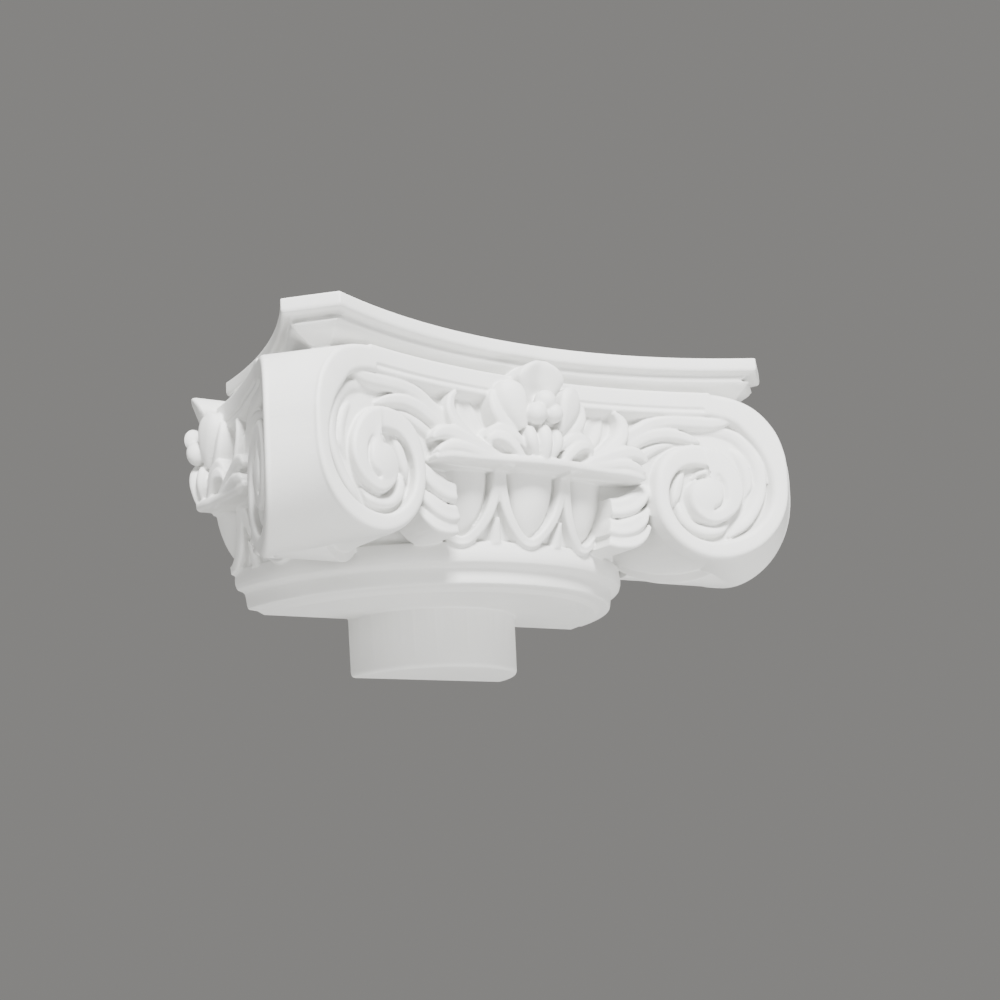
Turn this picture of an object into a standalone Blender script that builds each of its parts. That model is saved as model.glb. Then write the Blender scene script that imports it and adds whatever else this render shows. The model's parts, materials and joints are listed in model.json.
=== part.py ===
# Ionic half-column capital: one moulded piece with a flat back that goes on a wall.
# Metres, +Z up. X runs along the wall, the front looks along -Y, the wall is the plane Y = 0
# and the origin lies on the wall, below the middle of the front, at the level of the shaft's top.
from math import asin, cos, hypot, pi, radians, sin, sqrt

import bmesh
import bpy
from mathutils import Matrix, Vector

for old in list(bpy.data.objects):
    bpy.data.objects.remove(old, do_unlink=True)

# The shaft sets the scale: all sizes but the first are in parts of the seat's radius.
SEAT_RADIUS = 0.125
SEAT_R = 177.0
PART = SEAT_RADIUS / SEAT_R

FACET_SHARE = 0.69          # facets kept, so that the carving stays light
AXIS_BACK = 19.0            # the capital turns about an axis this far behind the wall
BEHIND = 40.0               # how far the blanks run past the wall before the back is cut flat
ROUND_SIDES = 76            # facets round the neck and the spigot

# Turned neck and the ground behind the eggs.
SEAT_EDGE = 7.0             # bevel round the seat
BAND_R = 194.3              # lower band of the neck
BAND_LOW_EDGE = 4.0
BAND_LEAN = 3.0             # how much the band widens to its top
BAND_TOP = 19.0
NECK_R = 205.9              # plain neck above the band
NECK_TOP = 41.0
EGG_GROUND_LOW = 199.0
EGG_GROUND_HIGH = 212.0
EGG_TOP = 108.0

# Spigot: a half round about the wall, with a little draft.
SPIGOT_R = 87.4
SPIGOT_DRAFT = 0.8
SPIGOT_DEPTH = 57.0
SPIGOT_EDGE = 4.0

# Faces: each is a hollow wall that bends out to the two volutes.
FACE_MIDDLE = 209.5
FACE_BEND = 590.0
CHANNEL = 13.6              # depth of the channel below the ribs
BODY_DEPTH = 95.0           # how far the face is solid behind its front
BAND_HIGH = 191.0
BAND_LOW = 167.0
FIELD_LOW = 102.0
SIDE_SHIFT = AXIS_BACK - 1.0        # the side flowers stand this far forward, so that the wall halves them
SIDE_DROP = 11.0            # the side volutes hang this much lower than the front ones
FLOWER_REACH = 120.0        # half width of the carving between two volutes

# Abacus: a square with four hollow sides and its corners cut off.
ABACUS_TOP = 223.8
ABACUS_MIDDLE = FACE_MIDDLE - 0.3
ABACUS_CORNER = (226.7, ABACUS_MIDDLE + 54.2)       # along the wall and out from it
FASCIA = 12.8
ABACUS_FOOT = 60.0          # inset of the foot that is sunk into the body
# Inset and height of each edge below the fascia, down to the band.
ABACUS_STEPS = ((3.0, 209.8), (8.0, 209.5), (8.0, 202.5), (12.0, 198.0), (17.0, 194.0), (26.0, 186.0),
                (ABACUS_FOOT, 176.0), (ABACUS_FOOT, FIELD_LOW))

# Volute: the eye's centre, and the edges of the rib as (turns from the top, radius).
EYE = (186.0, 91.0)
EYE_RISE = 10.0
SCROLL_LEAD = 20.0          # straight stretch of the band before the scroll turns
SCROLL_END = 0.56           # turns at which the rib leaves the ribbon
CORE_END = 0.8              # turns of the outline that the solid core follows
FLANK = (0.25, 0.86)        # turns between which the volute runs straight back
CORE_INSET = 3.0            # how far the solid core lies inside the outline
CORE_INNER = 74.0           # how far the core reaches from the eye to the middle of the face
RIB_DEPTH = CHANNEL + 6.0   # depth of the ribs from the face
BOSS_R = 15.0
RIB_OUTER = ((0.0, 99.0), (0.066, 95.5), (0.116, 87.5), (0.163, 78.0), (0.22, 69.0), (0.3, 65.5),
             (0.42, 64.0), (0.53, 64.2), (0.66, 62.5), (0.76, 60.5), (0.84, 60.8), (0.9, 56.5),
             (1.0, 44.5), (1.12, 31.0), (1.3, 24.5), (1.44, 26.0), (1.54, 30.0), (1.7, 28.5),
             (1.8, 25.5), (1.92, 16.8), (2.0, 12.0))
RIB_INNER = ((0.0, 76.0), (0.05, 72.5), (0.09, 65.2), (0.17, 56.6), (0.26, 52.0), (0.37, 47.6),
             (0.46, 45.8), (0.56, 48.2), (0.67, 48.6), (0.77, 46.4), (0.85, 40.5), (0.92, 31.0),
             (1.0, 20.0))

# Eggs on the echinus, as angles from the middle of the front.
EGG_ANGLES = (0.0, 18.7, 66.4, 85.1)
DART_ANGLES = (9.35, 75.75)
EGG_HALF = 25.0
EGG_CENTRE = 98.0
EGG_TIP = 48.0
EGG_DEPTH = 12.0
EGG_ROOT = 12.0             # how far eggs, shells and darts go into the ground

# Leaves, as strokes of (along the face, height, half width, rise from the face), on the right
# half of a face. Each is cut in one sweep from its root to its tip.
ROUNDING = 0.55             # how far a stroke's edges fall, as a share of its half width
LEAF_ROOT = CHANNEL + 3.0   # how deep the strokes go into the face
BASE_ROOT = CHANNEL + 8.0
TONGUE_ROOT = CHANNEL + 12.0
HUSK_ROOT = 60.0
VOLUTE_LEAVES = (
    ((100, 148, 7, -5), (123, 156, 7, -3), (142, 160, 6, -2), (157, 162, 6, -2), (176, 160, 8, -2),
     (194, 160, 7, -3), (208, 165, 2, -4)),
    ((108, 136, 8, -6), (124, 142, 8, -4), (141, 148, 7, -3), (155, 151, 6, -4), (168, 149, 5, -5),
     (177, 144, 2, -7)),
    ((100, 125, 6, -6), (121, 130, 7, -7), (138, 135, 5, -9), (155, 141, 3, -11)),
)
CHANNEL_LEAVES = (
    ((188, 158, 5, -10), (213, 158, 7, -6), (230, 143, 6, -5), (237, 120, 6, -5), (235, 97, 7, -5),
     (224, 74, 7, -6), (212, 60, 6, -6), (199, 50, 2, -8)),
    ((197, 148, 5, -10), (213, 143, 6, -8), (223, 128, 6, -7), (228, 110, 6, -7), (223, 97, 5, -8),
     (214, 88, 2, -9)),
    ((198, 56, 4, -9), (182, 53, 6, -6), (167, 56, 6, -6), (156, 66, 6, -6), (154, 82, 4, -8)),
    ((151, 78, 3, -9), (153, 93, 5, -6), (160, 105, 5, -6), (169, 115, 4, -8)),
)
BASE_LEAVES = (
    ((50, 115, 4, 6), (72, 119, 6, 6), (92, 123, 7, 6), (104, 122, 6, 5), (111, 117, 5, 3), (116, 110, 2, 0)),
    ((10, 105, 4, 8), (42, 107, 5, 7), (72, 109, 6, 6), (98, 110, 7, 5), (110, 109, 6, 3), (117, 108, 2, 0)),
    ((64, 126, 4, 0), (82, 131, 5, 1), (90, 142, 6, 1), (93, 153, 5, 0), (90, 163, 4, 0), (86, 169, 2, -1)),
    ((58, 134, 8, -7), (66, 148, 11, -8), (72, 160, 9, -8), (75, 167, 5, -9)),
    ((13, 111, 3, 9), (25, 119, 6, 10), (37, 126, 8, 11), (47, 128, 8, 10), (53, 123, 5, 8), (55, 117, 2, 6)),
)
HUSK = (
    ((124, 98, 4, -14), (114, 88, 9, -9), (100, 79, 10, -7), (87, 75, 9, -8), (80, 76, 5, -12)),
    ((125, 80, 4, -15), (115, 69, 8, -10), (102, 60, 9, -8), (92, 56, 8, -9), (85, 57, 5, -13)),
    ((126, 65, 3, -17), (116, 54, 6, -13), (104, 46, 7, -12), (95, 43, 6, -13), (89, 43, 3, -16)),
)
# Flower in the middle of a face: petals and the ribs of the tongue.
PETALS = (
    ((0, 165, 12, 8), (0, 178, 20, 12), (0, 190, 27, 17), (0, 199, 19, 19), (0, 204, 6, 17)),
    ((8, 150, 10, 8), (22, 156, 15, 12), (36, 164, 19, 13), (44, 175, 15, 12), (47, 186, 6, 9)),
    ((14, 142, 6, 8), (30, 143, 9, 10), (42, 149, 9, 8), (52, 158, 5, 4)),
)
TONGUE = (
    ((0, 104, 5, 13), (0, 112, 6, 15), (0, 132, 7, 17), (0, 143, 7, 15), (0, 148, 4, 11)),
    ((10, 104, 4, 12), (12, 112, 6, 14), (13, 130, 7, 15), (13, 140, 6, 13), (12, 145, 3, 9)),
)
BERRIES = ((0.0, 169.0, 9.0), (-7.6, 154.5, 9.5), (8.6, 154.5, 9.0))
BERRY_RISE = 19.0


def ease(table, at):
    """Value of a table of (place, value) at a place, with smooth joins."""
    rows = list(table)
    at = min(max(at, rows[0][0]), rows[-1][0])
    i = max(k for k in range(len(rows) - 1) if rows[k][0] <= at)
    (x0, v0), (x1, v1) = rows[i], rows[i + 1]
    before, after = rows[max(i - 1, 0)], rows[min(i + 2, len(rows) - 1)]
    m0 = (v1 - before[1]) / (x1 - before[0])
    m1 = (after[1] - v0) / (after[0] - x0)
    w = x1 - x0
    t = (at - x0) / w
    return ((2 * t**3 - 3 * t**2 + 1) * v0 + (t**3 - 2 * t**2 + t) * w * m0
            + (3 * t**2 - 2 * t**3) * v1 + (t**3 - t**2) * w * m1)


def face_point(s, z, rise):
    """Point on the front face: s along the wall, z up, rise out of the face."""
    return Vector((s, -(FACE_MIDDLE + FACE_BEND - sqrt(FACE_BEND**2 - s * s)) - rise, z)) * PART


def egg_ground(z):
    t = (z - NECK_TOP) / (EGG_TOP - NECK_TOP)
    return EGG_GROUND_LOW + (EGG_GROUND_HIGH - EGG_GROUND_LOW) * sin(pi / 2 * min(max(t, 0.0), 1.0))


def bell_point(angle):
    """Points round the echinus, with s measured along it from an angle."""
    def place(s, z, rise):
        r = egg_ground(z) + rise
        a = angle + s / EGG_GROUND_HIGH
        return Vector((r * sin(a), AXIS_BACK - r * cos(a), z)) * PART
    return place


def solid(name, points, faces):
    """Closed mesh object with its faces pointing out."""
    mesh = bpy.data.meshes.new(name)
    mesh.from_pydata([tuple(p) for p in points], [], faces)
    bm = bmesh.new()
    bm.from_mesh(mesh)
    bmesh.ops.remove_doubles(bm, verts=bm.verts, dist=1e-6)
    bmesh.ops.triangulate(bm, faces=[f for f in bm.faces if len(f.verts) > 4])
    bmesh.ops.recalc_face_normals(bm, faces=bm.faces)
    bm.to_mesh(mesh)
    bm.free()
    obj = bpy.data.objects.new(name, mesh)
    bpy.context.collection.objects.link(obj)
    return obj


def loft(name, rings):
    """Solid through a row of rings, each with the same number of points."""
    n = len(rings[0])
    faces = [list(range(n))[::-1], [(len(rings) - 1) * n + i for i in range(n)]]
    for k in range(len(rings) - 1):
        for i in range(n):
            j = (i + 1) % n
            faces.append([k * n + i, k * n + j, (k + 1) * n + j, (k + 1) * n + i])
    return solid(name, [p for ring in rings for p in ring], faces)


def stroke(name, place, rows, root, across=2):
    """One sweep of the chisel: a rounded ridge along a line, walled down to its root."""
    rings = []
    for i, (s, z, half, rise) in enumerate(rows):
        s0, z0 = rows[max(i - 1, 0)][:2]
        s1, z1 = rows[min(i + 1, len(rows) - 1)][:2]
        run = hypot(s1 - s0, z1 - z0)
        ns, nz = -(z1 - z0) / run, (s1 - s0) / run
        ring = []
        for j in range(across + 1):
            a = pi * j / across
            off = -half * cos(a)
            ring.append(place(s + ns * off, z + nz * off, rise - ROUNDING * half * (1 - sin(a))))
        ring.append(place(s + ns * half, z + nz * half, root))
        ring.append(place(s - ns * half, z - nz * half, root))
        rings.append(ring)
    return loft(name, rings)


def turned(name, profile, back):
    """Round solid from a profile of (radius, height) about an upright axis behind the wall."""
    turns = [2 * pi * (k + 0.5) / ROUND_SIDES for k in range(ROUND_SIDES)]
    return loft(name, [[Vector((r * cos(a), back + r * sin(a), z)) * PART for a in turns] for r, z in profile])


def neck():
    """Seat, band, plain neck and the ground of the echinus."""
    low, high = BAND_LOW_EDGE, BAND_TOP
    profile = [(SEAT_R, 0), (SEAT_R + SEAT_EDGE, low - 1), (BAND_R - BAND_LEAN, low), (BAND_R, low + 1),
               (BAND_R, high - 2 * BAND_LEAN), (BAND_R + BAND_LEAN, high), (NECK_R - 2, high + BAND_LEAN),
               (NECK_R, (high + NECK_TOP) / 2), (NECK_R - 1, NECK_TOP - 1)]
    for k in range(5):
        z = NECK_TOP + (EGG_TOP - NECK_TOP) * k / 4
        profile.append((egg_ground(z), z))
    return turned("neck", profile + [(EGG_GROUND_HIGH - BEHIND, BAND_LOW)], AXIS_BACK)


def spigot():
    """Half-round spigot that drops into the hollow shaft."""
    low = SPIGOT_R - SPIGOT_DRAFT
    profile = [(low - SPIGOT_EDGE, -SPIGOT_DEPTH), (low - 0.3 * SPIGOT_EDGE, -SPIGOT_DEPTH + 0.3 * SPIGOT_EDGE),
               (low, -SPIGOT_DEPTH + SPIGOT_EDGE), (SPIGOT_R, 0), (SPIGOT_R, BAND_TOP)]
    return turned("spigot", profile, 0.0)


def abacus_outline(inset, z, steps=13):
    """Outline of the abacus moved in by an inset: front half, with the wall as its back."""
    cx, cy = ABACUS_CORNER
    sag = cy - ABACUS_MIDDLE
    bend = (cx * cx + sag * sag) / (2 * sag)
    centre = ABACUS_MIDDLE + bend
    r = bend + inset
    # The cut corner runs at 45 degrees; its inset line meets the hollow side here.
    reach = cx + cy - inset * sqrt(2)
    lo, hi = 0.0, cx
    for _ in range(50):
        x = (lo + hi) / 2
        y = centre - sqrt(r * r - x * x)
        lo, hi = (x, hi) if x + y < reach else (lo, x)
    span = asin(lo / r)
    angles = [span * (2 * k / steps - 1) for k in range(steps + 1)]
    front = [(r * sin(a), centre - r * cos(a)) for a in angles]
    side = [(y, x) for x, y in front if x > -BEHIND][::-1]
    row = [(-x, y) for x, y in side][::-1] + front + side
    return [Vector((x, -y, z)) * PART for x, y in row]


def abacus():
    """Fascia, fillet and hollow of the abacus, one ring for each edge."""
    low = ABACUS_TOP - FASCIA
    steps = [(1.0, ABACUS_TOP), (0.0, ABACUS_TOP - 1.0), (0.0, low + 2.0), (0.9, low)] + list(ABACUS_STEPS)
    return loft("abacus", [abacus_outline(d, z) for d, z in steps])


def face_wall():
    """Solid behind a face: the band on top and the sunk field below it."""
    profile = [(0, BAND_HIGH), (0, BAND_LOW + 7), (-2, BAND_LOW + 6), (-2, BAND_LOW), (-CHANNEL, BAND_LOW - 3),
               (-CHANNEL, FIELD_LOW), (-BODY_DEPTH, FIELD_LOW), (-BODY_DEPTH, BAND_HIGH)]
    steps = 12
    return loft("face_wall", [[face_point(EYE[0] * (2 * k / steps - 1), z, d) for d, z in profile]
                              for k in range(steps + 1)])


def rib_point(table, turn, inside=0.0):
    """Point of the rib's edge (along the face, height) at a number of turns from the top."""
    r = ease(table, turn) - inside
    a = 2 * pi * turn
    return EYE[0] + r * sin(a), EYE[1] + r * cos(a)


def outline(start, end, inset, steps):
    """Stretch of the volute's outline between two numbers of turns."""
    return [rib_point(RIB_OUTER, start + (end - start) * k / steps, inset) for k in range(steps + 1)]


def across(p):
    """Point mirrored over the corner's diagonal, where the side volute hangs lower."""
    back = AXIS_BACK * PART
    return Vector((back - p.y, back - p.x, p.z - drop(p.z)))


def drop(height):
    """How far a side volute hangs below the front one at a height."""
    share = (EYE[1] - height / PART) / (EYE[1] - BAND_TOP)
    return SIDE_DROP * PART * min(max(share, 0.0), 1.0)


def corner():
    """Core of a corner: the volute's outline carried straight across to the next face."""
    ring = outline(0.0, CORE_END, CORE_INSET, 18)
    inner = EYE[0] - CORE_INNER
    near = [face_point(s, z, -CHANNEL) for s, z in [(inner, FIELD_LOW + 16), (inner, ring[0][1])] + ring]
    return loft("corner", [near, [across(p) for p in near]])


def flank():
    """Volute run straight back from its rib to the corner's diagonal."""
    near = [face_point(s, z, -CHANNEL - 1) for s, z in outline(*FLANK, 0.6, 16)]
    far = [Vector((p.x, AXIS_BACK * PART - p.x, p.z)) for p in near]
    return loft("flank", [near, far])


def scroll():
    """Outer turn of the volute: its rib on both faces and the ribbon between them."""
    rows = []
    for k in range(-1, 25):
        turn = SCROLL_END * max(k, 0) / 24
        outer, inner = rib_point(RIB_OUTER, turn), rib_point(RIB_INNER, turn)
        if k < 0:
            outer, inner = [(s - SCROLL_LEAD, z) for s, z in (outer, inner)]
        near = [face_point(*outer, 0), face_point(*inner, 0), face_point(*inner, -RIB_DEPTH)]
        rows.append(near + [across(p) for p in near[::-1]])
    return loft("scroll", rows)


def rib():
    """Rest of the rib, where it leaves the ribbon and winds in to the eye."""
    rows = []
    for k in range(9):
        turn = SCROLL_END - 0.03 + (1.03 - SCROLL_END) * k / 8
        outer, inner = rib_point(RIB_OUTER, turn), rib_point(RIB_INNER, turn)
        rows.append([face_point(*outer, 0.5), face_point(*inner, 0.5), face_point(*inner, 1 - RIB_DEPTH),
                     face_point(*outer, 1 - RIB_DEPTH)])
    return loft("rib", rows)


def eye():
    """Last turn of the volute, domed up to the eye."""
    n = 30
    edge = [rib_point(RIB_OUTER, 1.0 + k / n) for k in range(n)]
    rings = []
    for share, rise in ((1.0, -CHANNEL - 4), (1.0, 1.0), (0.5, 5.5)):
        rings.append([face_point(EYE[0] + (s - EYE[0]) * share, EYE[1] + (z - EYE[1]) * share, rise)
                      for s, z in edge])
    return loft("eye", rings)


def boss():
    """Round eye in the middle of the volute."""
    x, z = EYE[0] - 5, EYE[1] - 2
    rings = [[face_point(x + r * sin(a), z + r * cos(a), rise) for a in (2 * pi * k / 12 for k in range(12))]
             for r, rise in ((BOSS_R, -CHANNEL), (BOSS_R, 0.55 * EYE_RISE), (2 * BOSS_R / 3, EYE_RISE))]
    return loft("boss", rings)


def egg(angle):
    """Egg with its point down."""
    place = bell_point(angle)
    tall = EGG_CENTRE - EGG_TIP
    rings = []
    for a in (87, 62, 38, 15, -15):
        half, z = EGG_HALF * cos(radians(a)), EGG_CENTRE - tall * sin(radians(a))
        ring = [place(half * cos(b), z, EGG_DEPTH * cos(radians(a)) * sin(b) - 1)
                for b in (pi * k / 7 for k in range(8))]
        ring += [place(-half, z, -EGG_ROOT), place(half, z, -EGG_ROOT)]
        rings.append(ring)
    return loft("egg", rings)


def shell(angle):
    """Rim that holds an egg, open at the top."""
    place = bell_point(angle)
    rows = [(-33, 106, 4, 12), (-31, 84, 4.5, 12), (-25, 64, 4.5, 12), (-13, 47, 4.5, 12), (0, 40, 4.5, 12)]
    rows += [(-s, z, half, rise) for s, z, half, rise in rows[-2::-1]]
    return stroke("shell", place, rows, -EGG_ROOT)


def dart(angle):
    """Small point between two shells."""
    foot = NECK_TOP - 2
    rows = [(0, foot + 23, 1.5, 8), (0, foot + 10, 5, 8), (0, foot, 7, 8)]
    return stroke("dart", bell_point(angle), rows, -EGG_ROOT)


def berry(x, z, r):
    rings = [[face_point(x + r * cos(a) * cos(b), z + r * cos(a) * sin(b), BERRY_RISE - r + r * sin(a))
              for b in (2 * pi * k / 8 for k in range(8))] for a in (radians(v) for v in (-40, 5, 45, 78))]
    return loft("berry", rings)


def half_face():
    """Carving on the right half of a face, without what stands on its middle line."""
    parts = [stroke("leaf", face_point, rows, -LEAF_ROOT) for rows in VOLUTE_LEAVES + CHANNEL_LEAVES]
    parts += [stroke("leaf", face_point, rows, -BASE_ROOT) for rows in BASE_LEAVES]
    parts += [stroke("husk", face_point, rows, -HUSK_ROOT, 3) for rows in HUSK]
    parts += [stroke("petal", face_point, rows, -LEAF_ROOT, 3) for rows in PETALS[1:]]
    parts += [stroke("tongue", face_point, TONGUE[1], -TONGUE_ROOT, 3)]
    return parts + [rib(), eye(), boss()]


def middle():
    """Carving on the middle line of a face."""
    parts = [stroke("petal", face_point, PETALS[0], -LEAF_ROOT, 4)]
    parts += [stroke("tongue", face_point, TONGUE[0], -TONGUE_ROOT, 3)]
    return parts + [berry(*b) for b in BERRIES]


def copied(obj, matrix):
    twin = obj.copy()
    twin.data = obj.data.copy()
    bpy.context.collection.objects.link(twin)
    twin.data.transform(matrix)
    if matrix.determinant() < 0:
        twin.data.flip_normals()
    return twin


def on_side(obj, matrix):
    """Copy on a side face: its middle comes forward to the wall and its volute hangs lower."""
    twin = copied(obj, matrix)
    for v in twin.data.vertices:
        s = AXIS_BACK - v.co.y / PART
        near = (s - FLOWER_REACH + 20) / 30
        v.co.z -= drop(v.co.z) * min(max(near, 0.0), 1.0)
        v.co.y -= SIDE_SHIFT * PART * max(1 - s / FLOWER_REACH, 0.0)
    return twin


def carving():
    """Every piece that is joined to the neck, on the front and both side faces."""
    flip = Matrix.Scale(-1, 4, Vector((1, 0, 0)))
    back = Matrix.Translation((0, AXIS_BACK * PART, 0))
    turn = back @ Matrix.Rotation(pi / 2, 4, "Z") @ back.inverted()
    parts = []
    for obj in half_face():
        parts += [obj, copied(obj, flip)] + [on_side(obj, m) for m in (turn @ flip, flip @ turn @ flip)]
    for obj in middle() + [face_wall()]:
        parts += [obj] + [on_side(obj, m) for m in (turn, flip @ turn)]
    for obj in (corner(), scroll()):
        parts += [obj, copied(obj, flip)]
    near = flank()
    far = copied(near, Matrix.Identity(4))
    for v in far.data.vertices:
        v.co = across(v.co)
    far.data.flip_normals()
    parts += [near, far, copied(near, flip), copied(far, flip)]
    for degrees in EGG_ANGLES:
        for sign in (1, -1):
            if degrees or sign > 0:
                parts += [egg(sign * radians(degrees)), shell(sign * radians(degrees))]
    for degrees in DART_ANGLES:
        parts += [dart(radians(degrees)), dart(-radians(degrees))]
    return parts + [abacus(), spigot()]


def wall():
    """Block that stands where the wall is, to cut the back flat."""
    bpy.ops.mesh.primitive_cube_add(size=1)
    block = bpy.context.object
    block.name = "wall_cut"
    block.dimensions = (1.0, 0.5, 1.0)
    block.location = (0, 0.25, 0.05)
    return block


def primed(name, colour, roughness):
    mat = bpy.data.materials.new(name)
    mat.use_nodes = True
    shader = mat.node_tree.nodes["Principled BSDF"]
    shader.inputs["Base Color"].default_value = (*colour, 1)
    shader.inputs["Roughness"].default_value = roughness
    shader.inputs["Metallic"].default_value = 0
    return mat


def main():
    capital = neck()
    capital.name = "capital"
    parts = bpy.data.collections.new("carving")
    bpy.context.scene.collection.children.link(parts)
    for obj in carving():
        obj.hide_render = True
        obj.display_type = "WIRE"
        bpy.context.collection.objects.unlink(obj)
        parts.objects.link(obj)
    join = capital.modifiers.new("carving", "BOOLEAN")
    join.operand_type = "COLLECTION"
    join.collection = parts
    join.operation = "UNION"
    join.solver = "EXACT"
    thin = capital.modifiers.new("thin", "DECIMATE")
    thin.ratio = FACET_SHARE
    cut = capital.modifiers.new("back", "BOOLEAN")
    cut.object = wall()
    cut.object.hide_render = True
    cut.object.display_type = "WIRE"
    cut.operation = "DIFFERENCE"
    cut.solver = "EXACT"
    for poly in capital.data.polygons:
        poly.use_smooth = True
    capital.data.materials.append(primed("primed foam", (0.8, 0.8, 0.8), 0.55))


main()
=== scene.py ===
import json
from math import asin, cos, exp, hypot, inf, pi, radians, sin, sqrt

import bmesh
import bpy
from mathutils import Matrix, Vector

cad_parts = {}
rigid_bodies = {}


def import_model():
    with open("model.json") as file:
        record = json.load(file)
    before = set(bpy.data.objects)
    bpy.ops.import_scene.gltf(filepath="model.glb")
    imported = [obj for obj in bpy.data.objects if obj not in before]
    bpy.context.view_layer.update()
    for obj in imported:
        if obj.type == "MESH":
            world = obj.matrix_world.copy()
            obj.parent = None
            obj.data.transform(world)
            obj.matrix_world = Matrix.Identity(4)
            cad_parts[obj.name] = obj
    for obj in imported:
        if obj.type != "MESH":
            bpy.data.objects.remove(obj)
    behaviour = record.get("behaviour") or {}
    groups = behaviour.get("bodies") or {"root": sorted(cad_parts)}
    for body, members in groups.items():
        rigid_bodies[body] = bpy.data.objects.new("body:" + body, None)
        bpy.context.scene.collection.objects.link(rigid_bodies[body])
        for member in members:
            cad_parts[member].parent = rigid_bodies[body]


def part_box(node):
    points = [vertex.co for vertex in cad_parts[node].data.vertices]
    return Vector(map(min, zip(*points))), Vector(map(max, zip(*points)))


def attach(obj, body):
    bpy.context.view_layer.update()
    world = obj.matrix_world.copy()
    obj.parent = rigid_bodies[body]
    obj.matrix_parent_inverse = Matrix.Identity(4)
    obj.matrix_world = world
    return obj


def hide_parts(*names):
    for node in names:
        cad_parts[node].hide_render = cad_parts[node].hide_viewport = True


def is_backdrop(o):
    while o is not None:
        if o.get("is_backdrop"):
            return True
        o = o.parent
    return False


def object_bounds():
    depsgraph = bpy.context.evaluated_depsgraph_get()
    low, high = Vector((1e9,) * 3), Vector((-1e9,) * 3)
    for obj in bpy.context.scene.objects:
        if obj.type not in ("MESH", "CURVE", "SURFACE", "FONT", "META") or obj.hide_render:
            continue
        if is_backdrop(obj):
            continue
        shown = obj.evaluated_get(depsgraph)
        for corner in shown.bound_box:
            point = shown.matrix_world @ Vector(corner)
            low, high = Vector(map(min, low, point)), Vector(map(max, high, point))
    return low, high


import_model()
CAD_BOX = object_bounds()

bl_info = {
    "name": "Ionic Half-Column Capital",
    "version": (1, 0, 0),
    "blender": (4, 5, 0),
    "location": "3D View > Sidebar > Capital",
    "description": "Moulded capital with corner volutes, leaves, eggs and a flower, cut flat for a wall",
    "category": "Add Mesh",
}

# The capital's height above the shaft sets one part; every size below is in parts.
ABACUS_TOP = 223.8
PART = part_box("capital")[1][2] / ABACUS_TOP
MM = 0.001

# Turned neck, with its axis behind the wall.
AXIS_BACK = 19.0
SEAT_R = 177.0
BAND_R = 194.3
BAND_LOW_EDGE = 4.0
BAND_TOP = 19.0
NECK_R = 205.9
NECK_TOP = 41.0
EGG_GROUND_LOW = 199.0
EGG_GROUND_HIGH = 212.0
EGG_TOP = 108.0
GROUND_STEPS = 8

# Half-round spigot.
SPIGOT_R = 87.4
SPIGOT_DRAFT = 0.8
SPIGOT_DEPTH = 57.0
SPIGOT_EDGE = 4.0

# Abacus: its steps and its hollow as (inset, height), and the inset of its hidden core.
ABACUS_CORNER = (226.7, 263.4)
ABACUS_MIDDLE = 209.2
ABACUS_ARRIS = 1.0
FASCIA = 12.8
FASCIA_FOOT = (0.9, 2.5)    # inset and height of its rounded lower edge
ABACUS_STEPS = ((3.0, 209.8), (8.0, 209.5))
ABACUS_HOLLOW = ((8.0, 202.5), (12.0, 198.0), (17.0, 194.0), (26.0, 186.0))
HOLLOW_STEPS = 16
ABACUS_CORE = 60.0
ABACUS_CORE_TOP = 176.0

# Hollow faces. What runs on behind the wall plane is cut off at the end.
FACE_MIDDLE = 209.5
FACE_BEND = 590.0
BEHIND = 40.0
CHANNEL = 13.6
BODY_DEPTH = 95.0
BAND_HIGH = 191.0
BAND_LOW = 167.0
FIELD_LOW = 102.0
# Steps and bead at the band's foot, as (rise, height).
BAND_STEPS = ((0, 175.5), (-1.8, 174), (-1.8, 172.5), (-0.8, 170.5), (-1.6, 168.5), (-4, BAND_LOW))
FACE_STEPS = 60
# The side faces: how far their middle comes forward and how low they hang, and where that ends.
SIDE_SHIFT = 18.0
SIDE_DROP = 11.0
FLOWER_REACH = 120.0
BLEND_INSIDE = 20.0
BLEND_WIDTH = 30.0
# Hidden core between the side faces: half width, depth, lower and upper height.
HEART = (170.0, 60.0, 140.0, 190.0)

# Volute: the middle that its turns wind round, and the parts of its turns.
EYE = (186.0, 91.0)
SCROLL_LEAD = 6.0
SCROLL_END = 0.56
SCROLL_STEPS = 90
RIB_LAP = 0.03
RIB_STEPS = 60
RIB_DEPTH = CHANNEL + 6.0
OUTLINE_STEPS = 60
CORE_END = 0.8
CORE_INSET = 3.0
CORE_WIDTH = 74.0
CORE_LIFT = 16.0
FLANK = (0.25, 0.86)
FLANK_INSET = 0.6
FLANK_ROOT = CHANNEL + 1.0
# Outer and inner edge of the rib, as (turns from the top, distance from the middle).
RIB_OUTER = ((0.0, 99.0), (0.066, 95.5), (0.116, 87.5), (0.163, 78.0), (0.22, 69.0), (0.3, 65.5),
             (0.42, 64.0), (0.53, 64.2), (0.66, 62.5), (0.76, 60.5), (0.84, 60.8), (0.9, 56.5),
             (1.0, 44.5), (1.12, 31.0), (1.3, 24.5), (1.44, 26.0), (1.54, 30.0), (1.7, 28.5),
             (1.8, 25.5), (1.92, 16.8), (2.0, 12.0))
RIB_INNER = ((0.0, 76.0), (0.05, 72.5), (0.09, 65.2), (0.17, 56.6), (0.26, 52.0), (0.37, 47.6),
             (0.46, 45.8), (0.56, 48.2), (0.67, 48.6), (0.77, 46.4), (0.85, 40.5), (0.92, 31.0),
             (1.0, 20.0))
# How far the rib stands out from the face, by turns.
RIB_RISE = ((0.0, 0.0), (0.6, 0.0), (1.0, -0.4))
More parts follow.
